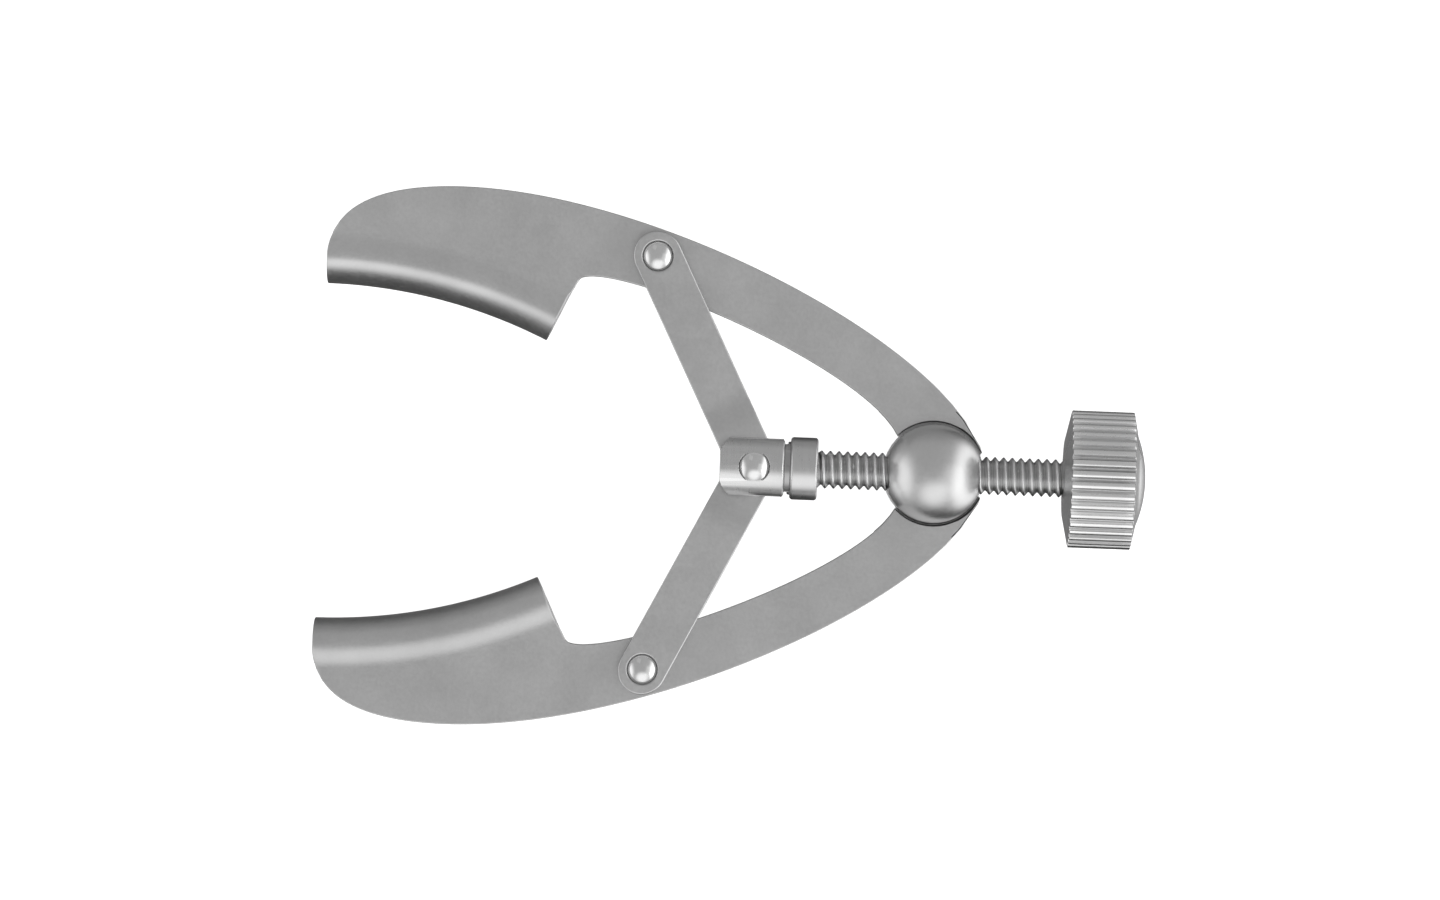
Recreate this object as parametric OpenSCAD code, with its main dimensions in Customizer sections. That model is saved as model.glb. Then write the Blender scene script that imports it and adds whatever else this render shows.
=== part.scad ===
// Screw-adjusted eyelid speculum with solid blades.
// The part lies flat: +X runs along the screw towards the knob, +Y towards the upper arm and
// +Z up. The origin is under the middle of the part, on the surface that it lies on.
// All lengths are millimetres.

/* [Arms] */
// Thickness of the arm plate
arm_t = 1.2; // [1:0.1:1.3]
// Half of the greatest width across both arms
arm_reach_y = 20.2; // [19.5:0.1:21]
// Distance from the ball to the point where an arm is farthest out
arm_crown_x = 36; // [34:0.5:37]
// Distance from the ball to the arm rivet
arm_rivet_r = 26.35; // [26:0.05:26.6]
// Angle of the arm rivet from the screw axis
arm_rivet_angle = 36.05; // [35.8:0.05:36.3]
// Radius of the eye that turns on the ball's journal
eye_r = 3.8; // [3.5:0.1:3.9]
// Thickness of the eye, half of the lap joint
eye_t = 0.6; // [0.5:0.05:0.6]
// Radius of the thick boss round the eye
boss_r = 6.3; // [5.8:0.1:6.6]

/* [Blades] */
// Distance from the ball to the blade tip
blade_tip_x = 46.15; // [45.8:0.05:46.5]
// Radius of the lid edge, seen from above
lip_r = 39.4; // [39:0.1:40]
// Angle that the lid edge turns through
lip_angle = 25; // [23:0.5:26]
// Width of the roll from the flat plate to the lid edge
roll_w = 3.7; // [3.4:0.05:3.7]
// Distance from the lid edge to the crest of the roll
crest_w = 2.05; // [1.8:0.05:2.2]
// Height of the crest over the flat plate
swell = 0.3; // [0.1:0.05:0.4]
// Depth of the roll from the flat plate to the lid edge's level
roll_h = 3.2; // [3:0.05:3.3]
// Width of the turn back under the lid edge
turn_w = 2.2; // [1.8:0.1:2.4]
// Thickness of the blade in the roll and the turn
gutter_t = 1; // [0.9:0.05:1.05]
// Length of the gutter's lower leg, past the turn
gutter_leg = 2.2; // [1.5:0.1:2.6]

/* [Links] */
// Width of a link
link_w = 3.6; // [3.2:0.1:3.8]
// Thickness of a link
link_t = 0.8; // [0.7:0.05:0.8]
// Radius of the round end at the arm
link_arm_end_r = 1.9; // [1.8:0.05:2]
// How far a link runs on past the yoke rivet before its round end
link_overrun = 0.5; // [0.2:0.1:0.6]
// Radius of the clearance hole round the yoke rivet
link_yoke_hole_r = 1; // [0.95:0.05:1.05]

/* [Yoke] */
// Distance from the ball to the yoke rivet
yoke_x = 13.5; // [13.4:0.05:13.6]
// Diameter of the yoke
yoke_d = 4.7; // [4.6:0.1:5]
// Radius of the yoke's rounded end about its rivet
yoke_end_r = 2.85; // [2.7:0.05:3]
// How far the yoke's flat end is past its rivet
yoke_end = 2.6; // [2.4:0.1:2.7]
// How far the yoke's sleeve reaches from the rivet
yoke_reach = 4.75; // [4.6:0.05:4.9]
// Width of the groove between yoke and sleeve
yoke_groove_w = 0.45; // [0.3:0.05:0.5]
// Depth of the groove between yoke and sleeve
yoke_groove_depth = 0.3; // [0.2:0.05:0.35]

/* [Screw] */
// Outside diameter of the screw
screw_d = 2.85; // [2.8:0.01:2.9]
// Diameter of the screw's captive head
screw_head_d = 3.5; // [3.4:0.05:3.55]
// Thickness of the captive head
screw_head_t = 0.75; // [0.6:0.05:0.8]

/* [Ball] */
// Diameter of the ball
ball_d = 7.4; // [7.3:0.05:7.6]
// Diameter of the journal under the ball
journal_d = 4; // [3.6:0.1:4.4]
// Diameter of the washer that keeps the arms on
washer_d = 6.8; // [6.2:0.1:7]
// Thickness of the washer
washer_t = 0.5; // [0.4:0.05:0.6]

/* [Knob] */
// Diameter over the knob's ribs
knob_d = 10.3; // [10.3:0.1:10.6]
// Length of the knob without its dome
knob_w = 5.5; // [5:0.05:5.6]
// Distance from the ball to the knob's inner face
knob_x = 9.7; // [9.4:0.1:10]
// Height of the dome on the knob's end
knob_dome_h = 0.65; // [0.5:0.05:0.8]
// Number of ribs round the knob
knob_ribs = 38; // [30:1:40]
// Depth of the grooves between the ribs
knob_groove_depth = 0.3; // [0.25:0.05:0.35]

/* [Rivets] */
// Diameter of an arm rivet's shank
arm_rivet_d = 1.4; // [1.2:0.1:1.5]
// Diameter of an arm rivet's head
arm_rivet_head_d = 2.1; // [2:0.1:2.2]
// Diameter of the yoke rivet's shank
yoke_rivet_d = 1.2; // [1.1:0.1:1.2]
// Diameter of the yoke rivet's head
yoke_rivet_head_d = 2.1; // [2:0.1:2.2]

/* [Hidden] */
$fn = 64;

eps = 0.01;
// Gap between flat faces that slide on each other
face_gap = 0.03;
// Radial gap between a turning shaft and its bore
run_gap = 0.03;
// Radial gap round the screw, which also stands for its thread clearance
screw_gap = 0.05;

ball_r = ball_d / 2;
screw_r = screw_d / 2;
knob_r = knob_d / 2;
knob_end_x = knob_x + knob_w + knob_dome_h;
// How far the screw goes into the knob
knob_grip = 4;
// The ball's place in the part's frame
pivot_x = (blade_tip_x - knob_end_x) / 2;
pivot_z = knob_r;

// Levels, measured from the screw axis
plate_top = -link_t / 2 - face_gap;
plate_bottom = plate_top - arm_t;
seat_z = -1.9;
upper_eye_top = seat_z - face_gap;
lower_eye_top = upper_eye_top - eye_t - face_gap;
washer_top = lower_eye_top - eye_t - face_gap;
washer_bottom = washer_top - washer_t;
pivot_screw_head_t = 0.45;
pivot_screw_r = 0.7;
pivot_screw_top = -2.2;

// The arm's plan. Its outer edge is two cubic curves, its inner edge one, its lid edge an arc
arm_edge_steps = 28;
blade_end_steps = 14;
lip_steps = 16;
neck_steps = 5;
// How far the plan reaches past the lid edge, so that it never cuts the roll
lip_margin = 0.1;
roll_steps = 8;
swell_steps = 6;
eye_relief_r = eye_r + 0.15;
// How far the lid edge's middle is from the screw axis at the blade tip
lip_tip_y = 12.6;
// Length of the blade tip's straight end
tip_end = 2.36;
lip_cx = -blade_tip_x;
lip_cy = lip_tip_y - lip_r;
bend_r = lip_r + roll_w;
turn_h = pivot_z + plate_top - roll_h;
lip_start = 90 - lip_angle;
neck = [-26.8, 13.75];
inner_end = [-2.75, 2.62];
arm_rivet = arm_rivet_r * [-cos(arm_rivet_angle), sin(arm_rivet_angle)];

// Link length and direction follow from the two rivets that it joins
link_run = [-yoke_x, 0] - arm_rivet;
link_length = norm(link_run);
link_angle = atan2(link_run[1], link_run[0]);
// A link's end is set off from the arm end's level, so that both links fit in the yoke's slot
link_offset = link_t / 2 + 0.02;
slot_half = link_t + 0.02 + 0.05;
joggle_start = 3.2;
joggle_end = 5.2;

yoke_r = yoke_d / 2;
slot_end_x = 2.5;
sleeve_start_x = yoke_reach - 2.05;
head_pocket_r = screw_head_d / 2 + screw_gap;
head_pocket_x = -yoke_x + yoke_reach - 1.55;
bush_t = 0.65;
rivet_head_h = 0.5;
spot_face_depth = 0.25;

function cubic(a, b, c, d, steps) = [
    for (i = [0:steps])
        let (t = i / steps, s = 1 - t)
        s * s * s * a + 3 * s * s * t * b + 3 * s * t * t * c + t * t * t * d
];

function arc_points(center, radius, from, to, steps) = [
    for (i = [0:steps])
        let (angle = from + (to - from) * i / steps)
        center + radius * [cos(angle), sin(angle)]
];

// Puts a piece made round the ball's centre in its place in the part's frame
module lay() {
    translate([pivot_x, 0, pivot_z]) children();
}

module along_x(x) {
    translate([x, 0, 0]) rotate([0, 90, 0]) children();
}

// The whole arm seen from above, down to the lid edge
module arm_plan() {
    crown = [-arm_crown_x, arm_reach_y];
    tip = [-blade_tip_x, lip_tip_y + tip_end];
    lip_center = [lip_cx, lip_cy];
    blade_root = lip_center + bend_r * [cos(lip_start), sin(lip_start)];
    polygon(concat(
        cubic([eye_r + 0.1, 0], [eye_r + 0.1, 8], [-20.1, arm_reach_y], crown, arm_edge_steps),
        cubic(crown, [-44.2, arm_reach_y], [-45.9, 17.3], tip, blade_end_steps),
        arc_points(lip_center, lip_r - lip_margin, 90, lip_start, lip_steps),
        [blade_root],
        cubic(blade_root, blade_root + [0.55, 0.6], neck - [0.5, 0.05], neck, neck_steps),
        cubic(neck, [-23.4, 14.65], [-5.15, 7.6], inner_end, arm_edge_steps),
        [[0, 0]]
    ));
}

// A quarter of an ellipse round a centre, from one angle to the other
function quarter(center, w, h, from, to) = [
    for (i = [0:roll_steps])
        let (angle = from + (to - from) * i / roll_steps)
        center + [w * cos(angle), h * sin(angle)]
];

// The rise from the flat plate to the crest, as the top face of the section, or its underside
function rise_points(drop) = [
    for (i = [0:swell_steps])
        let (share = i / swell_steps, height = swell * share * share * (3 - 2 * share))
        [bend_r - share * (roll_w - crest_w), plate_top + height - drop]
];

function reversed(points) = [for (i = [len(points) - 1:-1:0]) points[i]];

// The rolled edge that holds the lid: a low rise, a wide roll, a tighter turn back and a lower
// leg, swept round the lid edge and cut to the arm's plan
module gutter() {
    crest = [lip_r + crest_w, plate_top - roll_h];
    crest_h = roll_h + swell;
    leg_end = [lip_r + turn_w + gutter_leg, -pivot_z + gutter_t / 2];
    turn_center = [lip_r + turn_w, plate_top - roll_h];
    intersection() {
        translate([lip_cx, lip_cy, 0])
            rotate_extrude(angle = lip_angle + 2, start = lip_start - 1)
                union() {
                    polygon(concat(
                        rise_points(0),
                        quarter(crest, crest_w, crest_h, 90, 180),
                        quarter(turn_center, turn_w, turn_h, 180, 270),
                        [[leg_end[0], -pivot_z], [leg_end[0], -pivot_z + gutter_t]],
                        quarter(turn_center, turn_w - gutter_t, turn_h - gutter_t, 270, 180),
                        quarter(crest, crest_w - gutter_t, crest_h - gutter_t, 180, 90),
                        reversed(rise_points(gutter_t))
                    ));
                    translate(leg_end) circle(d = gutter_t);
                    translate([bend_r - eps, plate_bottom]) square([2 * eps, arm_t]);
                }
        translate([0, 0, -2 * pivot_z]) linear_extrude(3 * pivot_z) arm_plan();
    }
}

module arm_above(eye_top) {
    eye_bottom = eye_top - eye_t;
    difference() {
        union() {
            difference() {
                translate([0, 0, plate_bottom]) linear_extrude(arm_t) arm_plan();
                translate([lip_cx, lip_cy, -pivot_z]) cylinder(r = bend_r, h = 2 * pivot_z, $fn = 256);
            }
            intersection() {
                translate([0, 0, eye_bottom]) linear_extrude(plate_top - eye_bottom) arm_plan();
                translate([0, 0, eye_bottom]) cylinder(r = boss_r, h = plate_top - eye_bottom);
            }
            translate([0, 0, eye_bottom]) cylinder(r = eye_r, h = eye_t);
            gutter();
        }
        translate([0, 0, eye_top]) cylinder(r = eye_relief_r, h = ball_d);
        cylinder(r = journal_d / 2 + run_gap, h = ball_d, center = true);
        translate([arm_rivet[0], arm_rivet[1], 0])
            cylinder(d = arm_rivet_d, h = ball_d, center = true);
    }
}

module upper_arm() {
    color("silver") lay() arm_above(upper_eye_top);
}

module lower_arm() {
    color("silver") lay() mirror([0, 1, 0]) arm_above(lower_eye_top);
}

// A rivet with its shank in the arm, its head on the link and its tail under the arm
module arm_rivet_above() {
    head_seat = link_t / 2 - spot_face_depth;
    head_r = arm_rivet_head_d / 2;
    cap_r = (head_r * head_r + rivet_head_h * rivet_head_h) / (2 * rivet_head_h);
    translate([arm_rivet[0], arm_rivet[1], 0]) {
        translate([0, 0, plate_bottom]) cylinder(d = arm_rivet_d, h = head_seat - plate_bottom);
        intersection() {
            translate([0, 0, head_seat + rivet_head_h - cap_r]) sphere(r = cap_r);
            translate([0, 0, head_seat]) cylinder(r = head_r + 0.5, h = rivet_head_h);
        }
        translate([0, 0, plate_bottom - 0.35]) cylinder(r = head_r, h = 0.35);
    }
}

module upper_arm_rivet() {
    color("gainsboro") lay() arm_rivet_above();
}

module lower_arm_rivet() {
    color("gainsboro") lay() mirror([0, 1, 0]) arm_rivet_above();
}

// A link from its arm rivet at the origin to the yoke rivet at +X; side sets its end up or down
module link_flat(side) {
    level = side * link_offset;
    far = link_length + link_w;
    difference() {
        intersection() {
            translate([0, 0, -2 * link_t]) linear_extrude(4 * link_t) union() {
                circle(r = link_arm_end_r);
                translate([0, -link_w / 2]) square([link_length + link_overrun, link_w]);
                translate([link_length + link_overrun, 0]) circle(d = link_w);
            }
            translate([0, far / 2, 0]) rotate([90, 0, 0]) linear_extrude(far) polygon([
                [-far, -link_t / 2],
                [link_length - joggle_end, -link_t / 2],
                [link_length - joggle_start, level - link_t / 2],
                [far, level - link_t / 2],
                [far, level + link_t / 2],
                [link_length - joggle_start, level + link_t / 2],
                [link_length - joggle_end, link_t / 2],
                [-far, link_t / 2]
            ]);
        }
        cylinder(r = arm_rivet_d / 2 + run_gap, h = 4 * link_t, center = true);
        translate([0, 0, link_t / 2 - spot_face_depth])
            cylinder(r = arm_rivet_head_d / 2 + 0.1, h = link_t);
        translate([link_length, 0, 0]) cylinder(r = link_yoke_hole_r, h = 4 * link_t, center = true);
    }
}

module upper_link() {
    color("silver") lay()
        translate([arm_rivet[0], arm_rivet[1], 0]) rotate([0, 0, link_angle]) link_flat(1);
}

module lower_link() {
    color("silver") lay()
        translate([arm_rivet[0], -arm_rivet[1], 0]) rotate([0, 0, -link_angle]) link_flat(-1);
}

module yoke() {
    length = yoke_end + yoke_reach;
    color("silver") lay() translate([-yoke_x, 0, 0]) difference() {
        intersection() {
            along_x(-yoke_end) cylinder(r = yoke_r, h = length);
            union() {
                cylinder(r = yoke_end_r, h = 2 * yoke_d, center = true);
                translate([0, -yoke_d, -yoke_d]) cube([length, 2 * yoke_d, 2 * yoke_d]);
            }
        }
        // Slot for the links
        translate([-yoke_d, -yoke_d, -slot_half])
            cube([yoke_d + slot_end_x, 2 * yoke_d, 2 * slot_half]);
        // Groove between yoke and sleeve
        along_x(sleeve_start_x - yoke_groove_w) difference() {
            cylinder(r = yoke_d, h = yoke_groove_w);
            cylinder(r = yoke_r - yoke_groove_depth, h = yoke_groove_w);
        }
        // Pocket for the screw's head and the bush
        along_x(head_pocket_x + yoke_x) cylinder(r = head_pocket_r, h = yoke_d);
        cylinder(d = yoke_rivet_d, h = 2 * yoke_d, center = true);
        for (side = [-1, 1])
            translate([0, 0, side * (yoke_r - spot_face_depth + yoke_r / 2)])
                cylinder(r = yoke_rivet_head_d / 2 + 0.1, h = yoke_r, center = true);
    }
}

module yoke_rivet() {
    seat = yoke_r - spot_face_depth;
    head_r = yoke_rivet_head_d / 2;
    cap_r = (head_r * head_r + rivet_head_h * rivet_head_h) / (2 * rivet_head_h);
    color("gainsboro") lay() translate([-yoke_x, 0, 0]) {
        cylinder(d = yoke_rivet_d, h = 2 * seat, center = true);
        for (side = [0, 1]) mirror([0, 0, side]) intersection() {
            translate([0, 0, seat + rivet_head_h - cap_r]) sphere(r = cap_r);
            translate([0, 0, seat]) cylinder(r = head_r + 0.5, h = rivet_head_h);
        }
    }
}

module retaining_bush() {
    color("silver") lay() along_x(-yoke_x + yoke_reach - bush_t) difference() {
        cylinder(r = head_pocket_r, h = bush_t);
        translate([0, 0, -eps]) cylinder(r = screw_r + screw_gap, h = bush_t + 2 * eps);
    }
}

module ball_nut() {
    color("gainsboro") lay() difference() {
        union() {
            difference() {
                sphere(r = ball_r, $fn = 96);
                translate([0, 0, seat_z - ball_r]) cube(2 * ball_r, center = true);
            }
            translate([0, 0, washer_top]) cylinder(d = journal_d, h = seat_z - washer_top + 0.2);
        }
        along_x(-ball_d) cylinder(r = screw_r + screw_gap, h = 2 * ball_d);
        translate([0, 0, washer_bottom]) cylinder(r = pivot_screw_r, h = pivot_screw_top - washer_bottom);
    }
}

module pivot_washer() {
    color("silver") lay() translate([0, 0, washer_bottom]) difference() {
        cylinder(d = washer_d, h = washer_t);
        translate([0, 0, -eps]) cylinder(r = pivot_screw_r + run_gap, h = washer_t + 2 * eps);
    }
}

module pivot_screw() {
    head_r = 1.4;
    slot_w = 0.35;
    color("gainsboro") lay() difference() {
        union() {
            translate([0, 0, washer_bottom - pivot_screw_head_t]) cylinder(r = head_r, h = pivot_screw_head_t);
            translate([0, 0, washer_bottom])
                cylinder(r = pivot_screw_r, h = pivot_screw_top - washer_bottom);
        }
        translate([0, 0, washer_bottom - pivot_screw_head_t])
            cube([3 * head_r, slot_w, pivot_screw_head_t], center = true);
    }
}

module screw() {
    head_x = -yoke_x + yoke_reach - bush_t - 0.05 - screw_head_t;
    color("silver") lay() {
        along_x(head_x) cylinder(d = screw_head_d, h = screw_head_t);
        along_x(head_x) cylinder(r = screw_r, h = knob_x + knob_grip - head_x);
    }
}

module knob() {
    inner_face_r = 2.9;
    inner_cone = 0.5;
    outer_cone = 0.35;
    dome_r = 3.4;
    groove_r = 0.22;
    dome_sphere_r = (dome_r * dome_r + knob_dome_h * knob_dome_h) / (2 * knob_dome_h);
    color("gainsboro") lay() along_x(knob_x) difference() {
        union() {
            cylinder(r1 = inner_face_r, r2 = knob_r, h = inner_cone);
            translate([0, 0, inner_cone]) cylinder(r = knob_r, h = knob_w - inner_cone - outer_cone);
            translate([0, 0, knob_w - outer_cone]) cylinder(r1 = knob_r, r2 = dome_r, h = outer_cone);
            intersection() {
                translate([0, 0, knob_w + knob_dome_h - dome_sphere_r]) sphere(r = dome_sphere_r);
                translate([0, 0, knob_w - outer_cone]) cylinder(r = dome_r, h = outer_cone + knob_dome_h);
            }
        }
        translate([0, 0, -eps]) cylinder(r = screw_r, h = knob_grip + eps);
        for (i = [0:knob_ribs - 1])
            rotate([0, 0, (i + 0.5) * 360 / knob_ribs])
                translate([knob_r + groove_r - knob_groove_depth, 0, -knob_w])
                    cylinder(r = groove_r, h = 3 * knob_w);
    }
}

ball_nut();
pivot_screw();
pivot_washer();
upper_arm();
lower_arm();
upper_arm_rivet();
lower_arm_rivet();
upper_link();
lower_link();
yoke();
yoke_rivet();
retaining_bush();
screw();
knob();
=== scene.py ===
import math

import bmesh
import bpy
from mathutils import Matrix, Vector

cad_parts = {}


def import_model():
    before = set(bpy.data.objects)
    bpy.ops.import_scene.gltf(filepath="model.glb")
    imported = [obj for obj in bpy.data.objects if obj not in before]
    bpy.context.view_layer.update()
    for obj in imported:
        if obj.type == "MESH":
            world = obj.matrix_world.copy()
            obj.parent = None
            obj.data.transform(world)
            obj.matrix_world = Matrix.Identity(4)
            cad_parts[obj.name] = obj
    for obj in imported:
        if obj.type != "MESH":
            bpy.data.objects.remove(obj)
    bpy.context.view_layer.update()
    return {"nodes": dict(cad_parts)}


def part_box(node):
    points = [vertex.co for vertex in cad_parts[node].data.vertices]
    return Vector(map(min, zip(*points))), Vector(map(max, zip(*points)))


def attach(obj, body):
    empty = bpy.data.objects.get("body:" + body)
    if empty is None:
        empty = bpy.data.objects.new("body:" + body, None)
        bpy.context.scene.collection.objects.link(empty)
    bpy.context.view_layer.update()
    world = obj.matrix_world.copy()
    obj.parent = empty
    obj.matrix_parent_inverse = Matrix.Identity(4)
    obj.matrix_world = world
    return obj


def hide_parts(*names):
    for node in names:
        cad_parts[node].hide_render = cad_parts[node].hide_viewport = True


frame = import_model()

# A screw-adjusted eyelid speculum in steel. Lengths are millimetres from the ball's centre,
# with +X along the screw to the knob, +Y to the upper arm and +Z up.
MM = 0.001
GAP = 0.03


def ball_centre():
    """The ball's centre in the row frame, in metres."""
    low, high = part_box("ball_nut")
    return Vector(((low.x + high.x) / 2, 0, high.z - (high.y - low.y) / 2))


PIVOT = ball_centre()


def box_mm(node):
    """A CAD node's lowest and highest corners, in millimetres from the ball's centre."""
    low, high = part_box(node)
    return (low - PIVOT) / MM, (high - PIVOT) / MM


# ---------------------------------------------------------------- shapes

def bezier(a, b, c, d, steps):
    """Points along a cubic curve in the plan."""
    points = []
    for i in range(steps + 1):
        t = i / steps
        s = 1 - t
        weights = (s * s * s, 3 * s * s * t, 3 * s * t * t, t * t * t)
        points.append(Vector((
            sum(w * p[0] for w, p in zip(weights, (a, b, c, d))),
            sum(w * p[1] for w, p in zip(weights, (a, b, c, d))),
        )))
    return points


def lerp(a, b, t):
    return a + (b - a) * t


def steps_to_one(count):
    return [j / count for j in range(count + 1)]


def smooth(t):
    """Eases from 0 to 1 as t does, and holds the ends."""
    t = min(max(t, 0), 1)
    return t * t * (3 - 2 * t)


def walk(points, place):
    """The point at a place along a run of points. A place counts points, with a fraction."""
    i = min(int(place), len(points) - 2)
    return points[i].lerp(points[i + 1], place - i)


def crossing(points, test):
    """The place along the points where test goes from negative to positive."""
    values = [test(p) for p in points]
    for i in range(len(points) - 1):
        if values[i] < 0 <= values[i + 1]:
            return i + values[i] / (values[i] - values[i + 1])
    raise ValueError("the test never changes sign along the points")


def grid_faces(rows, closed=False):
    """Quads between neighbouring rows of vertex numbers, round each row too if it is closed."""
    faces = []
    for low, high in zip(rows, rows[1:]):
        count = len(low)
        for j in range(count if closed else count - 1):
            k = (j + 1) % count
            faces.append((low[j], low[k], high[k], high[j]))
    return faces


def slab(tops, bottoms, faces):
    """A solid between two skins that share their faces, with a rim wherever the skins end."""
    count = len(tops)
    edges = {}
    for face in faces:
        for a, b in zip(face, face[1:] + face[:1]):
            edges[(a, b)] = True
    solid = [tuple(face) for face in faces]
    solid += [tuple(v + count for v in reversed(face)) for face in faces]
    solid += [(b, a, a + count, b + count) for a, b in edges if (b, a) not in edges]
    return list(tops) + list(bottoms), solid


def lathe(profile, steps, axis="x", closed=False):
    """Turns a profile of (place along the axis, radius) round the x or z axis."""
    verts, rows = [], []
    for along, radius in profile:
        rows.append(range(len(verts), len(verts) + steps))
        for i in range(steps):
            angle = 2 * math.pi * i / steps
            u, v = radius * math.cos(angle), radius * math.sin(angle)
            verts.append((along, u, v) if axis == "x" else (u, v, along))
    if closed:
        rows.append(rows[0])
    return verts, grid_faces(rows, closed=True)


def dome(radius, height, low, steps=10):
    """A lathe profile for a round cap on z, from its rim to its top."""
    sphere = (radius * radius + height * height) / (2 * height)
    rim = math.asin(radius / sphere)
    angles = [rim * (1 - i / steps) for i in range(steps + 1)]
    return [(low + height - sphere * (1 - math.cos(a)), sphere * math.sin(a)) for a in angles]


def tidy(mesh, sharp):
    """Welds coincident points, drops empty faces and shades smooth between sharp edges."""
    work = bmesh.new()
    work.from_mesh(mesh)
    bmesh.ops.remove_doubles(work, verts=work.verts, dist=2e-6)
    bmesh.ops.dissolve_degenerate(work, edges=work.edges, dist=1e-6)
    bmesh.ops.recalc_face_normals(work, faces=work.faces)
    work.to_mesh(mesh)
    work.free()
    mesh.polygons.foreach_set("use_smooth", [True] * len(mesh.polygons))
    mesh.set_sharp_from_angle(angle=math.radians(sharp))


def new_object(name, verts, faces, sharp=38):
    """A mesh object from millimetre points measured from the ball's centre."""
    mesh = bpy.data.meshes.new(name)
    mesh.from_pydata([PIVOT + Vector(v) * MM for v in verts], [], faces)
    tidy(mesh, sharp)
    piece = bpy.data.objects.new(name, mesh)
    bpy.context.scene.collection.objects.link(piece)
    return piece


def round_edges(piece, width, segments=3, angle=40):
    """Breaks the sharp edges of a piece, as tumbling does."""
    bevel = piece.modifiers.new("edges", "BEVEL")
    bevel.width = width * MM
    bevel.segments = segments
    bevel.limit_method = "ANGLE"
    bevel.angle_limit = math.radians(angle)
    bevel.use_clamp_overlap = False
    bevel.harden_normals = True
    return piece


def place(piece, node, body, slot, material):
    """Puts a finished piece on its body, in the place of its CAD node."""
    piece.data.materials.clear()
    piece.data.materials.append(material)
    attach(piece, body)
    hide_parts(node)
    return piece


# ---------------------------------------------------------------- materials

def noise(tree, vector, scale, detail):
    """A noise value from 0 to 1 over a vector socket."""
    node = tree.nodes.new("ShaderNodeTexNoise")
    node.inputs["Scale"].default_value = scale
    node.inputs["Detail"].default_value = detail
    tree.links.new(vector, node.inputs["Vector"])
    return node.outputs["Fac"]


def ranged(tree, source, low, high, to_low, to_high, ease="LINEAR"):
    """Maps the range low..high of a socket to to_low..to_high, and holds it there outside."""
    node = tree.nodes.new("ShaderNodeMapRange")
    node.interpolation_type = ease
    node.inputs["From Min"].default_value = low
    node.inputs["From Max"].default_value = high
    node.inputs["To Min"].default_value = to_low
    node.inputs["To Max"].default_value = to_high
    tree.links.new(source, node.inputs["Value"])
    return node.outputs["Result"]


def combine(tree, operation, *values):
    """One arithmetic step on sockets and plain numbers."""
    node = tree.nodes.new("ShaderNodeMath")
    node.operation = operation
    for socket, value in zip(node.inputs, values):
        if isinstance(value, (int, float)):
            socket.default_value = value
        else:
            tree.links.new(value, socket)
    return node.outputs["Value"]


STAIN_SCALE = 260
RELIEF = 0.02 * MM

# Where most noise values lie, where curvature counts as a worn edge, and where it counts as a hollow that
# gets painted shade
NOISE_BAND = (0.3, 0.7)
EDGE_BAND = (0.515, 0.58)
HOLLOW_SHADE_BAND = (0.42, 0.50)


def steel(name, tone, roughness, grain, stretch=(1, 1, 1), bump=0.2, mottle=0.06, wear=0.12, painted_hollow_shade=0.0):
    """Bare steel: a grain or turning lines, faint stains, brighter worn edges, and painted shade that
    darkens the hollows.

    Wear and the painted hollow shade come from the surface's curvature, and are left out where both are 0."""
    material = bpy.data.materials.new(name)
    material.use_nodes = True
    tree = material.node_tree
    shader = tree.nodes["Principled BSDF"]
    shader.inputs["Metallic"].default_value = 1.0
    here = tree.nodes.new("ShaderNodeTexCoord").outputs["Object"]
    mapping = tree.nodes.new("ShaderNodeMapping")
    mapping.inputs["Scale"].default_value = stretch
    tree.links.new(here, mapping.inputs["Vector"])
    fine = noise(tree, mapping.outputs["Vector"], grain, 3)
    broad = noise(tree, here, STAIN_SCALE, 4)
    stain = ranged(tree, broad, *NOISE_BAND, tone * (1 - mottle), tone * (1 + mottle))
    speckle = ranged(tree, fine, *NOISE_BAND, 1 - mottle, 1)
    grey = combine(tree, "MULTIPLY", stain, speckle)
    rough = ranged(tree, fine, *NOISE_BAND, roughness * 0.9, roughness * 1.12)
    if wear or painted_hollow_shade:
        bend = tree.nodes.new("ShaderNodeNewGeometry").outputs["Pointiness"]
        edge = ranged(tree, bend, *EDGE_BAND, 0, 1)
        # Painted shade: the base colour is darkened in hollows and grooves, where shade falls
        hollow_shade = ranged(tree, bend, *HOLLOW_SHADE_BAND, 1 - painted_hollow_shade, 1)
        grey = combine(tree, "MULTIPLY", combine(tree, "MULTIPLY_ADD", edge, wear, grey), hollow_shade)
        rough = combine(tree, "MULTIPLY_ADD", edge, -wear, rough)
    tree.links.new(grey, shader.inputs["Base Color"])
    tree.links.new(rough, shader.inputs["Roughness"])

    relief = tree.nodes.new("ShaderNodeBump")
    relief.inputs["Strength"].default_value = bump
    relief.inputs["Distance"].default_value = RELIEF
    tree.links.new(fine, relief.inputs["Height"])
    tree.links.new(relief.outputs["Normal"], shader.inputs["Normal"])
    return material


SATIN = steel("satin_steel", tone=0.60, roughness=0.40, grain=4200, bump=0.18, wear=0)
BALL = steel("ball_steel", tone=0.63, roughness=0.34, grain=3600, bump=0.10, mottle=0.04, wear=0)
POLISHED = steel("polished_steel", tone=0.74, roughness=0.22, grain=2600, bump=0.06, mottle=0.03)
# The turned and knob steels carry painted shade in their grooves and hollows
TURNED = steel("turned_steel", 0.62, 0.32, 900, stretch=(8, 1, 1), bump=0.05, mottle=0.04, painted_hollow_shade=0.8)
KNOB_STEEL = steel("knob_steel", 0.80, 0.30, 1400, stretch=(1, 4, 4), bump=0.05, mottle=0.03, painted_hollow_shade=0.92)


# ---------------------------------------------------------------- arms

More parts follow.
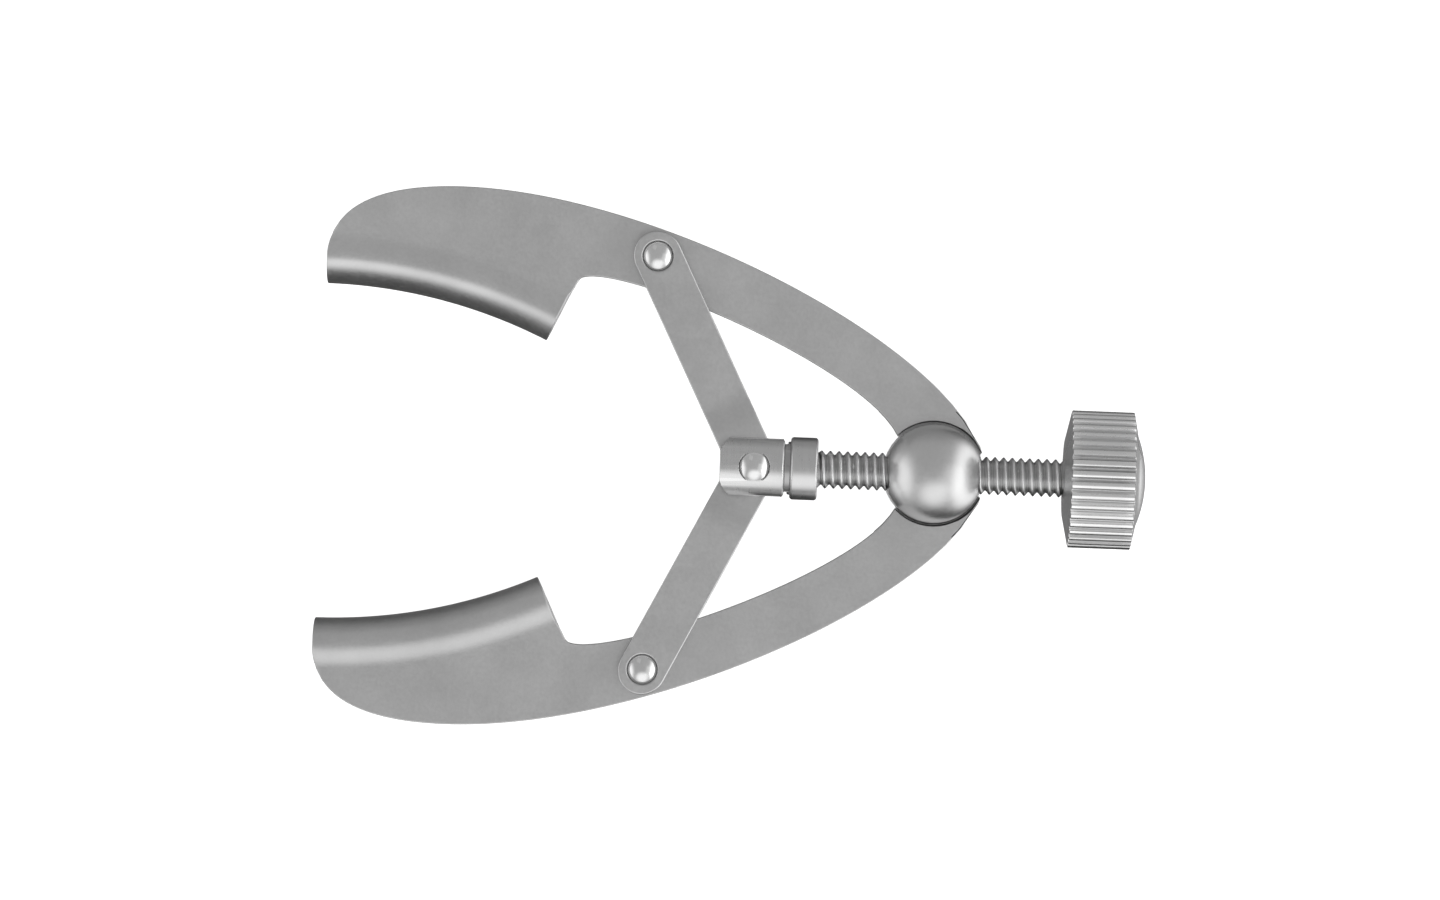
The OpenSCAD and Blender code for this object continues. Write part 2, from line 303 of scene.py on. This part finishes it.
arm_low, arm_high = box_mm("upper_arm")
knob_low, knob_high = box_mm("knob")
KNOB_R = (knob_high.z - knob_low.z) / 2

# The flat plate, the thin eyes that lap on the ball's journal, and the boss beside them
PLATE_T = 1.2
PLATE_TOP = box_mm("upper_link")[0].z - GAP
EYE_T = 0.6
BORE_R = 2.03
EYE_R = 3.8
RELIEF_R = 3.95
BOSS_RINGS = (4.6, 5.4, 6.3)
BOSS_R = BOSS_RINGS[-1]
PAST_BOSS_R = BOSS_R + 0.2
STEP_LEAN = 0.03
LOWER_EYE_TOP = box_mm("pivot_washer")[1].z + GAP + EYE_T
UPPER_EYE_TOP = LOWER_EYE_TOP + GAP + EYE_T

# The lid edge in the plan: an arc that ends square to the tip
TIP_X = arm_low.x
TIP_Y = 12.6
TIP_END = 2.36
REACH_Y = arm_high.y
LID_R = 39.4
LID_CENTRE = Vector((TIP_X, TIP_Y - LID_R))
LID_ANGLE = 25

# The gutter in section: a swell, a quarter ellipse down the lid side, a turn and a leg
ROLL_W = 3.7
CREST_W = 2.05
SWELL = 0.3
LID_H = 3.2
TURN_W = 2.2
LEG = 2.2
CURL_T = 1.0
END_ANGLES = (22.5, 45, 67.5)

# The rows of faces: across the arm, along it, round the neck and along the blade
NECK = (-26.8, 13.75)
NECK_OUT_X = -22.6
ROOT_OUT_X = -28.2
COLUMNS = 14
EYE_COLUMNS = 26
ARM_ROWS = 34
NECK_ROWS = 9
NECK_STEPS = 40
BLADE_ROWS = 44
FAN = 6
LAST_ANGLE = 89.9
TIP_REACH = 3.2
TIP_POINTS = 40

# Rows keep clear of the outline by these, and the cells at the rim are wider than its bevel
FLAT_MARGIN = 0.3
LEG_MARGIN = 0.1
RIM_CELL = 0.35
ARM_BEVEL = 0.08


def outer_edge():
    """The arm's outer edge from the ball to the blade tip."""
    crown = (-36, REACH_Y)
    tip = (TIP_X, TIP_Y + TIP_END)
    along_arm = bezier((EYE_R + 0.1, 0), (EYE_R + 0.1, 8), (-20.1, REACH_Y), crown, 160)
    return along_arm + bezier(crown, (-44.2, REACH_Y), (-45.9, 17.3), tip, 60)[1:]


def at_angle(radius, degrees):
    """A point round the lid edge's centre."""
    angle = math.radians(degrees)
    return LID_CENTRE + radius * Vector((math.cos(angle), math.sin(angle)))


def arc_row(outer, inner, radius):
    """A row of points round the ball, from the outer edge to the inner edge."""
    ends = [walk(edge, crossing(edge, lambda p: p.length - radius)) for edge in (outer, inner)]
    start, stop = [math.atan2(p.y, p.x) for p in ends]
    angles = [lerp(start, stop, j / COLUMNS) for j in range(COLUMNS + 1)]
    return [Vector((radius * math.cos(a), radius * math.sin(a))) for a in angles]


def lid_height(d):
    """The top face's height over the flat plate, at a distance from the lid edge."""
    if d >= CREST_W:
        return SWELL * smooth((ROLL_W - d) / (ROLL_W - CREST_W))
    share = 1 - d / CREST_W
    return (SWELL + LID_H) * math.sqrt(1 - share * share) - LID_H


def curl_path(start, leg):
    """The blade's outer face in section, from start through the roll and the turn to the leg's end."""
    turn_h = PLATE_TOP - LID_H + KNOB_R
    path = [(d, lid_height(d)) for d in (lerp(start, CREST_W, v) for v in steps_to_one(8))]
    for v in steps_to_one(16)[1:]:
        angle = math.pi / 2 * v
        path.append((CREST_W * (1 - math.sin(angle)), (SWELL + LID_H) * math.cos(angle) - LID_H))
    for v in steps_to_one(12)[1:]:
        angle = math.pi / 2 * v
        path.append((TURN_W * (1 - math.cos(angle)), -LID_H - turn_h * math.sin(angle)))
    return path + [(TURN_W + leg * v, -LID_H - turn_h) for v in steps_to_one(4)[1:]]


def curl_section(start, leg):
    """Pairs of outer and inner points in section, thinning to a round end at the leg."""
    path = curl_path(start, leg)
    pairs = []
    for i, (d, h) in enumerate(path):
        before, after = path[max(i - 1, 0)], path[min(i + 1, len(path) - 1)]
        back = Vector((before[0] - after[0], before[1] - after[1])).normalized()
        thick = lerp(PLATE_T, CURL_T, smooth(i / 12))
        pairs.append(((d, h), (d + back.y * thick, h - back.x * thick)))
    end_d, end_h = path[-1]
    half = CURL_T / 2
    for angle in END_ANGLES:
        out = end_d + half * math.sin(math.radians(angle))
        rise = half * math.cos(math.radians(angle))
        pairs.append(((out, end_h + half - rise), (out, end_h + half + rise)))
    return pairs


def formed_arm(name, eye_top, side):
    """One arm: an eye on the ball's journal, a flat arm and a blade that rolls under at the lid."""
    outer = outer_edge()
    root = at_angle(LID_R + ROLL_W, 90 - LID_ANGLE)
    inner = list(reversed(bezier(NECK, (-23.4, 14.65), (-5.15, 7.6), (-2.75, 2.62), 120)))
    tops, bottoms, faces = [], [], []
    eye_bottom = eye_top - EYE_T
    plate_bottom = PLATE_TOP - PLATE_T

    def add(top, bottom):
        tops.append((top[0], side * top[1], top[2]))
        bottoms.append((bottom[0], side * bottom[1], bottom[2]))
        return len(tops) - 1

    def add_row(points, under, top_z, bottom_z):
        return [add((*p, top_z), (*q, bottom_z)) for p, q in zip(points, under)]

    # The eye, a full ring whose first stretch of rim carries on into the arm
    first = arc_row(outer, inner, RELIEF_R)
    start, stop = [math.atan2(p.y, p.x) for p in (first[0], first[-1])]
    angles = [lerp(start, stop, j / COLUMNS) for j in range(COLUMNS)]
    angles += [lerp(stop, start + 2 * math.pi, j / EYE_COLUMNS) for j in range(EYE_COLUMNS)]
    ring = [Vector((math.cos(a), math.sin(a))) for a in angles]
    bore = add_row([p * BORE_R for p in ring], [p * BORE_R for p in ring], eye_top, eye_bottom)
    rim = add_row([p * EYE_R for p in ring], [p * EYE_R for p in ring], eye_top, eye_bottom)
    faces += grid_faces([bore, rim], closed=True)

    # The step up to the plate, the boss and the step under it. The skin that doesn't step moves
    # on by a hair there, so that its faces aren't empty
    close = [p * (RELIEF_R - STEP_LEAN) / RELIEF_R for p in first]
    rows = [rim[:COLUMNS + 1]]
    rows.append(add_row(first, close, eye_top, eye_bottom))
    rows.append(add_row([p * 1.0005 for p in first], first, PLATE_TOP, eye_bottom))
    for radius in BOSS_RINGS:
        arc = arc_row(outer, inner, radius)
        rows.append(add_row(arc, arc, PLATE_TOP, eye_bottom))
    past = arc_row(outer, inner, PAST_BOSS_R)
    edge = arc_row(outer, inner, BOSS_R + 0.02)
    rows.append(add_row(past, edge, PLATE_TOP, plate_bottom))

    # The flat arm
    leave_out = crossing(outer, lambda p: p.length - PAST_BOSS_R)
    leave_in = crossing(inner, lambda p: p.length - PAST_BOSS_R)
    neck_out = crossing(outer, lambda p: NECK_OUT_X - p.x)
    chord = past[0].lerp(past[-1], 0.5)
    bulge = past[COLUMNS // 2] - chord
    for i in range(1, ARM_ROWS + 1):
        share = i / ARM_ROWS
        a = walk(outer, lerp(leave_out, neck_out, share))
        b = walk(inner, lerp(leave_in, len(inner) - 1, share))
        swell = bulge * (1 - smooth(share * 4))
        row = [a.lerp(b, v) + swell * 4 * v * (1 - v) for v in steps_to_one(COLUMNS)]
        rows.append(add_row(row, row, PLATE_TOP, plate_bottom))

    # The neck, where the rows fan round to meet the blade's own
    root_out = crossing(outer, lambda p: ROOT_OUT_X - p.x)
    leave_neck, reach_root = (NECK[0] - 0.5, NECK[1] - 0.05), root + Vector((0.55, 0.6))
    neck_line = bezier(NECK, leave_neck, reach_root, root, NECK_STEPS)
    for i in range(1, NECK_ROWS):
        share = i / NECK_ROWS
        a = walk(outer, lerp(neck_out, root_out, share))
        b = walk(neck_line, NECK_STEPS * share)
        row = [a.lerp(b, v) for v in steps_to_one(COLUMNS)]
        rows.append(add_row(row, row, PLATE_TOP, plate_bottom))

    # The blade, in rows that point at the lid edge's centre
    blade = [blade_row(add, outer, 90 - LID_ANGLE * (1 - t)) for t in steps_to_one(BLADE_ROWS)]
    rows += [row[:COLUMNS + 1] for row in blade]
    faces += grid_faces(rows)
    faces += grid_faces([row[COLUMNS:] for row in blade])
    verts, solid = slab(tops, bottoms, faces)
    return round_edges(new_object(name, verts, solid), ARM_BEVEL)


def radial_angle(point):
    """A point's angle round the lid edge's centre, in degrees."""
    offset = point - LID_CENTRE
    return math.degrees(math.atan2(offset.y, offset.x))


def blade_end(outer, degrees):
    """The point on the outer edge where a blade row starts. The first rows fan out from the neck."""
    first, fan_end = 90 - LID_ANGLE, 90 - LID_ANGLE + FAN
    if degrees >= fan_end:
        return walk(outer, crossing(outer, lambda p: radial_angle(p) - degrees))
    near = crossing(outer, lambda p: ROOT_OUT_X - p.x)
    far = crossing(outer, lambda p: radial_angle(p) - fan_end)
    return walk(outer, lerp(near, far, (degrees - first) / FAN))


def blade_row(add, outer, degrees):
    """One row across the blade: the flat stretch, then the roll, the turn and the leg.

    A row points at the lid edge's centre, and the last one bends along the tip's outline."""
    last = degrees > LAST_ANGLE
    tip_edge = outer[-TIP_POINTS:]

    def spot(d):
        point = at_angle(LID_R + d, degrees)
        if last and point.y > outer[-1].y:
            point.x = walk(tip_edge, crossing(tip_edge, lambda p: point.y - p.y)).x
        return point

    end = spot(TIP_REACH) if last else blade_end(outer, degrees)
    reach = (end - LID_CENTRE).length - LID_R
    start = min(ROLL_W, reach - FLAT_MARGIN)
    leg = min(LEG, reach - TURN_W - CURL_T / 2 - LEG_MARGIN)
    first = min(RIM_CELL / (reach - start), 0.5)
    numbers = []
    for share in [0] + [lerp(first, 1, v) for v in steps_to_one(COLUMNS - 1)[:-1]]:
        point = spot(lerp(reach, start, share)) if last else end.lerp(spot(start), share)
        height = PLATE_TOP + lid_height(min((point - LID_CENTRE).length - LID_R, ROLL_W))
        numbers.append(add((*point, height), (*point, height - PLATE_T)))
    for (d, h), (under_d, under_h) in curl_section(start, leg):
        numbers.append(add((*spot(d), PLATE_TOP + h), (*spot(under_d), PLATE_TOP + under_h)))
    return numbers


# ---------------------------------------------------------------- links

LINK_T = 0.8
LINK_W = 3.6
LINK_COLUMNS = 8
LINK_ROWS = 26
LINK_REACH = 2.5
ARM_END_R = 1.9
ARM_HOLE_R = 0.73
YOKE_HOLE_R = 1.0
YOKE_END_REACH = 0.5
LINK_BEVEL = 0.12
SPOT_R = 1.15
SPOT_DEPTH = 0.25

# Each link steps up or down near the yoke, so that the two lie on each other in its slot
LINK_OFFSET = LINK_T / 2 + 0.02
OFFSET_FROM = 5.2
OFFSET_RUN = 2.0


def rivet_centre(node):
    low, high = box_mm(node)
    return Vector(((low.x + high.x) / 2, (low.y + high.y) / 2))


def eye_outline(end_r, end_reach=0.0):
    """A link's end round its hole: the side towards the link, then round the end, as a closed run."""
    half = LINK_W / 2
    side = [Vector((LINK_REACH, lerp(-half, half, v))) for v in steps_to_one(LINK_COLUMNS)]
    back = [Vector((lerp(LINK_REACH, -end_reach, v), half)) for v in steps_to_one(5)[1:-1]]
    turn = []
    for v in steps_to_one(24):
        angle = math.radians(90 + 180 * v)
        turn.append(Vector((end_r * math.cos(angle) - end_reach, min(end_r, half) * math.sin(angle))))
    forth = [Vector((p.x, -p.y)) for p in reversed(back)]
    return side + back + turn + forth


def link_end(add, outline, hole_r, spot, flip):
    """The rings between a link's outline and its hole, with a spot face for the rivet's head."""
    radius = SPOT_R if spot else hole_r
    rays = [p.normalized() for p in outline]
    rings = []
    for share in (0, 0.4, 0.75, 1):
        ring = [p.lerp(ray * radius, share) for p, ray in zip(outline, rays)]
        rings.append([add(p, p, 0, flip) for p in ring])
    if spot:
        for top_r, under_r in ((SPOT_R - 0.01, SPOT_R - 0.08), (hole_r, hole_r)):
            rings.append([add(ray * top_r, ray * under_r, SPOT_DEPTH, flip) for ray in rays])
    return rings


def formed_link(name, start, stop, level):
    """A flat link with a hole at each end, set off at the yoke so that two links fit in its slot."""
    run = stop - start
    length = run.length
    along, across = run.normalized(), Vector((-run.y, run.x)).normalized()
    tops, bottoms, faces = [], [], []

    def add(top, under, sunk, flip):
        for point, skin, drop in ((top, tops, sunk), (under, bottoms, 0)):
            x = length - point.x if flip else point.x
            y = -point.y if flip else point.y
            rise = level * smooth((x - (length - OFFSET_FROM)) / OFFSET_RUN)
            plan = start + along * x + across * y
            z = (LINK_T / 2 - drop if skin is tops else -LINK_T / 2) + rise
            skin.append((plan.x, plan.y, z))
        return len(tops) - 1

    half = LINK_W / 2
    arm_rings = link_end(add, eye_outline(ARM_END_R), ARM_HOLE_R, True, False)
    yoke_rings = link_end(add, eye_outline(half, YOKE_END_REACH), YOKE_HOLE_R, False, True)
    faces += grid_faces(arm_rings, closed=True)
    faces += grid_faces(yoke_rings, closed=True)
    rows = [arm_rings[0][:LINK_COLUMNS + 1]]
    for share in steps_to_one(LINK_ROWS)[1:-1]:
        x = lerp(LINK_REACH, length - LINK_REACH, share)
        row = [Vector((x, lerp(-half, half, v))) for v in steps_to_one(LINK_COLUMNS)]
        rows.append([add(p, p, 0, False) for p in row])
    rows.append(yoke_rings[0][:LINK_COLUMNS + 1][::-1])
    faces += [tuple(reversed(face)) for face in grid_faces(rows)]
    verts, solid = slab(tops, bottoms, faces)
    return round_edges(new_object(name, verts, solid), LINK_BEVEL)


# ---------------------------------------------------------------- turned pieces

RIVET_R = 1.05
RIVET_DOME = 0.42
ARM_SHANK_R = 0.7
YOKE_SHANK_R = 0.6


def rivet_head(seat, shank_r):
    """A rivet's domed head on its seat, as a lathe profile from the shank to the top."""
    rim = seat + 0.08
    return [(seat, shank_r), (seat, 1.0), (rim, RIVET_R)] + dome(RIVET_R, RIVET_DOME, rim)[1:]


def arm_rivet(name, centre):
    """A domed rivet: its head in the link's spot face, its flat tail under the arm."""
    tail = PLATE_TOP - PLATE_T
    profile = [(tail - 0.35, 0), (tail - 0.35, 0.9), (tail - 0.2, RIVET_R), (tail, RIVET_R)]
    profile += [(tail, ARM_SHANK_R)] + rivet_head(LINK_T / 2 - SPOT_DEPTH, ARM_SHANK_R)
    verts, faces = lathe(profile, 48, axis="z")
    return new_object(name, [(x + centre.x, y + centre.y, z) for x, y, z in verts], faces)


YOKE_X = rivet_centre("yoke_rivet").x
YOKE_R = (box_mm("yoke")[1].y - box_mm("yoke")[0].y) / 2
YOKE_BEVEL = 0.06


def yoke_rivet():
    """A rivet with a domed head in each cheek's spot face."""
    head = rivet_head(YOKE_R - SPOT_DEPTH, YOKE_SHANK_R)
    profile = [(-z, r) for z, r in reversed(head)] + head
    verts, faces = lathe(profile, 48, axis="z")
    return new_object("domed_yoke_rivet", [(x + YOKE_X, y, z) for x, y, z in verts], faces)


def box_mesh(low, high):
    xs, ys, zs = zip(low, high)
    verts = [(x, y, z) for x in xs for y in ys for z in zs]
    faces = [(0, 1, 3, 2), (4, 6, 7, 5), (0, 4, 5, 1), (2, 3, 7, 6), (0, 2, 6, 4), (1, 5, 7, 3)]
    return verts, faces


def carve(piece, cuts):
    """Applies boolean cuts, each an (operation, verts, faces), and returns the finished piece."""
    for operation, verts, faces in cuts:
        cutter = new_object("cutter", verts, faces)
        modifier = piece.modifiers.new("cut", "BOOLEAN")
        modifier.object = cutter
        modifier.operation = operation
        modifier.solver = "EXACT"
        bpy.context.view_layer.update()
        shaped = bpy.data.meshes.new_from_object(piece.evaluated_get(bpy.context.evaluated_depsgraph_get()))
        piece.modifiers.clear()
        piece.data = shaped
        bpy.data.objects.remove(cutter)
    tidy(piece.data, 38)
    return piece


def yoke():
    """The swivel: two cheeks with a slot for the links, a groove, and a sleeve on the screw's head."""
    low, high = box_mm("yoke")
    end_r, slot_half, slot_end = 2.85, LINK_T + 0.07, YOKE_X + 2.5
    groove_from, groove_to, floor_r = YOKE_X + 2.25, YOKE_X + 2.7, YOKE_R - 0.36
    lip = 0.14
    pocket_r, pocket_x = 1.8, YOKE_X + 3.2
    profile = [(low.x - 0.5, 0), (low.x - 0.5, YOKE_R), (groove_from - lip, YOKE_R)]
    profile += [(groove_from, YOKE_R - lip), (groove_from, floor_r), (groove_to, floor_r)]
    profile += [(groove_to, YOKE_R - lip), (groove_to + lip, YOKE_R), (high.x - lip, YOKE_R)]
    profile += [(high.x, YOKE_R - lip), (high.x, pocket_r), (pocket_x, pocket_r), (pocket_x, 0)]
    piece = new_object("carved_yoke", *lathe(profile, 96))

    # A round end about the rivet, drawn out past the sleeve, and boxes that clear the yoke
    clear, past_sleeve = 6, 9
    verts, faces = lathe([(-clear, 0), (-clear, end_r), (clear, end_r), (clear, 0)], 96, axis="z")
    rounded = [(YOKE_X + (x if x < 0 else x + past_sleeve), y, z) for x, y, z in verts]
    slot = box_mesh((low.x - 1, -clear, -slot_half), (slot_end, clear, slot_half))
    return carve(piece, [
        ("INTERSECT", rounded, faces),
        ("INTERSECT", *box_mesh((low.x, -clear, -clear), (high.x + 1, clear, clear))),
        ("DIFFERENCE", *slot),
        ("DIFFERENCE", *spot_face(1)),
        ("DIFFERENCE", *spot_face(-1)),
    ])


def spot_face(side):
    """The round cut that seats a rivet's head in a cheek."""
    seat, above = side * (YOKE_R - SPOT_DEPTH), side * (YOKE_R - SPOT_DEPTH + 2)
    profile = [(seat, 0), (seat, SPOT_R), (above, SPOT_R), (above, 0)]
    verts, faces = lathe(profile, 48, axis="z")
    return [(x + YOKE_X, y, z) for x, y, z in verts], faces


SCREW_R = 1.425
PITCH = 0.65
THREAD_DEPTH = 0.3
THREAD_FLAT = 0.12


def threaded_screw():
    """A right-hand thread that fades out at both ends, with the captive head inside the yoke."""
    low, high = box_mm("screw")
    head_end = low.x + 0.75
    fade_in, fade_out = 1.2, 0.8
    per_pitch, steps = 12, 64
    count = int((high.x - head_end) / PITCH * per_pitch)
    verts, rows = [], []

    def ring(x, radius):
        rows.append(range(len(verts), len(verts) + steps))
        for i in range(steps):
            angle = 2 * math.pi * i / steps
            r = radius(x, angle)
            verts.append((x, r * math.cos(angle), r * math.sin(angle)))

    def thread(x, angle):
        phase = ((x - head_end) / PITCH - angle / (2 * math.pi)) % 1
        flank = (abs(2 * phase - 1) - THREAD_FLAT) / (1 - 2 * THREAD_FLAT)
        climb = min(max(flank, 0), 1)
        fade = smooth((x - head_end) / fade_in) * smooth((high.x - x) / fade_out)
        return SCREW_R - THREAD_DEPTH * climb * fade

    head_r = (high.z - low.z) / 2
    for x, r in ((low.x, 0), (low.x, head_r - 0.1), (low.x + 0.1, head_r), (head_end, head_r)):
        ring(x, lambda *_, r=r: r)
    for i in range(count + 1):
        ring(lerp(head_end, high.x, i / count), thread)
    ring(high.x, lambda *_: 0)
    return new_object("threaded_screw", verts, grid_faces(rows, closed=True), sharp=60)


def ball_nut():
    """The ball: a countersunk bore, a flat seat and the journal that the arms turn on."""
    low, high = box_mm("ball_nut")
    radius = high.y
    bore, sink = 1.475, 0.14
    journal_r, core_r, chamfer = 2.0, 0.75, 0.12
    seat_z = UPPER_EYE_TOP + GAP
    start = math.asin((bore + sink) / radius)
    arc = [lerp(start, math.pi - start, v) for v in steps_to_one(72)]
    profile = [(-radius * math.cos(a), radius * math.sin(a)) for a in arc]
    inside = radius * math.cos(start) - sink
    profile += [(inside, bore), (-inside, bore)]
    verts, faces = lathe(profile, 96, closed=True)
    verts = [(x, y, max(z, seat_z)) for x, y, z in verts]
    journal = [(low.z, core_r), (low.z, journal_r - chamfer), (low.z + chamfer, journal_r)]
    journal += [(seat_z + 0.05, journal_r), (seat_z + 0.05, core_r)]
    more, more_faces = lathe(journal, 64, axis="z", closed=True)
    faces += [tuple(v + len(verts) for v in face) for face in more_faces]
    return new_object("polished_ball", verts + more, faces, sharp=32)


def fluted_knob():
    """The knob: ribs with bevelled ends between two cones, a flat inner face and a low dome."""
    low, high = box_mm("knob")
    ribs, groove_r, groove_depth, rib_round = 38, 0.17, 0.32, 0.09
    steps = ribs * 16
    face_r, dome_r, dome_h, hole_end = 2.9, 3.4, 0.65, high.x - 2.15
    base = high.x - dome_h
    ribs_from, ribs_to = low.x + 0.5, base - 0.35
    profile = [(hole_end, 0), (hole_end, SCREW_R), (low.x, SCREW_R), (low.x, 2.3), (low.x, face_r)]
    profile += [(lerp(low.x, ribs_from, t), lerp(face_r, KNOB_R, t)) for t in steps_to_one(12)[1:]]
    profile += [(lerp(ribs_from, ribs_to, t), KNOB_R) for t in steps_to_one(8)[1:]]
    profile += [(lerp(ribs_to, base, t), lerp(KNOB_R, dome_r, t)) for t in steps_to_one(12)[1:]]
    profile += dome(dome_r, dome_h, base)[1:]
    centre_r = KNOB_R + groove_r - groove_depth

    def fluted(angle):
        """The radius round the ribs: round grooves between crowned ribs."""
        turn = 2 * math.pi / ribs
        across = abs(KNOB_R * ((angle % turn) - turn / 2))
        if across >= groove_r:
            crown = (across - groove_r) / (KNOB_R * turn / 2 - groove_r)
            return KNOB_R - rib_round * (1 - crown) ** 2
        return min(centre_r - math.sqrt(groove_r ** 2 - across ** 2), KNOB_R - rib_round)

    verts, rows = [], []
    for x, radius in profile:
        rows.append(range(len(verts), len(verts) + steps))
        for i in range(steps):
            angle = 2 * math.pi * i / steps
            r = min(radius, fluted(angle))
            verts.append((x, r * math.cos(angle), r * math.sin(angle)))
    return new_object("fluted_knob", verts, grid_faces(rows, closed=True), sharp=34)


# ---------------------------------------------------------------- assembly

def assemble():
    upper, lower = rivet_centre("upper_arm_rivet"), rivet_centre("lower_arm_rivet")
    yoke_at = Vector((YOKE_X, 0))
    place(formed_arm("formed_upper_arm", UPPER_EYE_TOP, 1), "upper_arm", "upper_arm", "satin_steel", SATIN)
    place(formed_arm("formed_lower_arm", LOWER_EYE_TOP, -1), "lower_arm", "lower_arm", "satin_steel", SATIN)
    upper_link = formed_link("flat_upper_link", upper, yoke_at, LINK_OFFSET)
    lower_link = formed_link("flat_lower_link", lower, yoke_at, -LINK_OFFSET)
    place(upper_link, "upper_link", "upper_link", "satin_steel", SATIN)
    place(lower_link, "lower_link", "lower_link", "satin_steel", SATIN)
    for side, centre in (("upper", upper), ("lower", lower)):
        rivet = arm_rivet(f"domed_{side}_arm_rivet", centre)
        place(rivet, f"{side}_arm_rivet", f"{side}_arm", "polished_steel", POLISHED)
    place(round_edges(yoke(), YOKE_BEVEL, 2), "yoke", "yoke", "turned_steel", TURNED)
    place(yoke_rivet(), "yoke_rivet", "yoke", "polished_steel", POLISHED)
    place(threaded_screw(), "screw", "spindle", "turned_steel", TURNED)
    place(ball_nut(), "ball_nut", "pivot", "polished_steel", BALL)
    place(fluted_knob(), "knob", "spindle", "knob_steel", KNOB_STEEL)
    for node, material in (("pivot_washer", SATIN), ("pivot_screw", POLISHED), ("retaining_bush", TURNED)):
        finish_cad_node(frame["nodes"][node], material)


def finish_cad_node(piece, material):
    piece.data.materials.clear()
    piece.data.materials.append(material)


# ---------------------------------------------------------------- stage

def area_light(name, place_at, target, size, watts):
    data = bpy.data.lights.new(name, "AREA")
    data.shape = "RECTANGLE"
    data.size, data.size_y = size
    data.energy = watts
    light = bpy.data.objects.new(name, data)
    light.location = place_at
    light.rotation_euler = (Vector(target) - Vector(place_at)).to_track_quat("-Z", "Y").to_euler()
    light.visible_camera = False
    bpy.context.scene.collection.objects.link(light)


# Each panel's azimuth, elevation, full radius and outer radius in degrees, then its strength
PANELS = {
    "right": (-4, -6, 40, 60, 1.05),
    "left": (188, 0, 20, 46, 0.90),
    "high_front": (270, 40, 14, 40, 0.80),
    "dark_front": (270, -38, 26, 46, -0.40),
    "dark_back": (90, -32, 22, 44, -0.14),
}
# The tent's grey by the height of a direction: darker below, and never darker than DIMMEST
GREY_BAND = (-0.9, -0.3)
GREYS = (0.16, 0.48)
DIMMEST = 0.05


def world():
    """A soft studio tent: grey, with bright panels right, left and in front, and dark ones low down."""
    scene_world = bpy.data.worlds.new("studio")
    bpy.context.scene.world = scene_world
    scene_world.use_nodes = True
    tree = scene_world.node_tree
    direction = tree.nodes.new("ShaderNodeTexCoord").outputs["Generated"]
    parts = tree.nodes.new("ShaderNodeSeparateXYZ")
    tree.links.new(direction, parts.inputs["Vector"])

    def panel(azimuth, elevation, core, edge, gain):
        """A round glow with soft edges, or a dark patch where its gain is negative."""
        turn, rise = math.radians(azimuth), math.radians(elevation)
        facing = tree.nodes.new("ShaderNodeVectorMath")
        facing.operation = "DOT_PRODUCT"
        toward = (math.cos(turn) * math.cos(rise), math.sin(turn) * math.cos(rise), math.sin(rise))
        facing.inputs[1].default_value = toward
        tree.links.new(direction, facing.inputs[0])
        limits = [math.cos(math.radians(angle)) for angle in (edge, core)]
        return ranged(tree, facing.outputs["Value"], *limits, 0, gain, "SMOOTHSTEP")

    glow = ranged(tree, parts.outputs["Z"], *GREY_BAND, *GREYS, "SMOOTHSTEP")
    for facts in PANELS.values():
        glow = combine(tree, "ADD", glow, panel(*facts))
    strength = combine(tree, "MAXIMUM", glow, DIMMEST)
    background = tree.nodes["Background"]
    tree.links.new(strength, background.inputs["Strength"])
    background.inputs["Color"].default_value = (1, 1, 1, 1)


def floor():
    """A plain white floor that glows a little, as a light table does, so that shadows stay faint."""
    mesh = bpy.data.meshes.new("floor")
    half = 2.0
    corners = [(-half, -half, 0), (half, -half, 0), (half, half, 0), (-half, half, 0)]
    mesh.from_pydata(corners, [], [(0, 1, 2, 3)])
    ground = bpy.data.objects.new("floor", mesh)
    bpy.context.scene.collection.objects.link(ground)
    material = bpy.data.materials.new("white_floor")
    material.use_nodes = True
    shader = material.node_tree.nodes["Principled BSDF"]
    shader.inputs["Base Color"].default_value = (0.9, 0.9, 0.9, 1)
    shader.inputs["Roughness"].default_value = 0.9
    shader.inputs["Emission Color"].default_value = (1, 1, 1, 1)
    shader.inputs["Emission Strength"].default_value = 0.8
    mesh.materials.append(material)
    ground.visible_glossy = False


VIEW_WIDTH = 0.108
VIEW_CENTRE = (-0.00096, 0.00116)
VIEW_TURN = 2.2


def camera():
    """Straight down on the part, with a long lens. The part lies turned a little clockwise."""
    data = bpy.data.cameras.new("camera")
    data.lens = 200
    data.sensor_width = 36
    data.clip_start = 0.01
    eye = bpy.data.objects.new("camera", data)
    height = VIEW_WIDTH * data.lens / data.sensor_width
    eye.location = (*VIEW_CENTRE, PIVOT.z + height)
    eye.rotation_euler = (0, 0, math.radians(VIEW_TURN))
    bpy.context.scene.collection.objects.link(eye)
    bpy.context.scene.camera = eye


camera()
area_light("key", place_at=(0.34, -0.10, 0.30), target=(0, 0, 0), size=(0.5, 0.5), watts=0.22)
world()
floor()
assemble()
bpy.context.scene.view_settings.view_transform = "Standard"
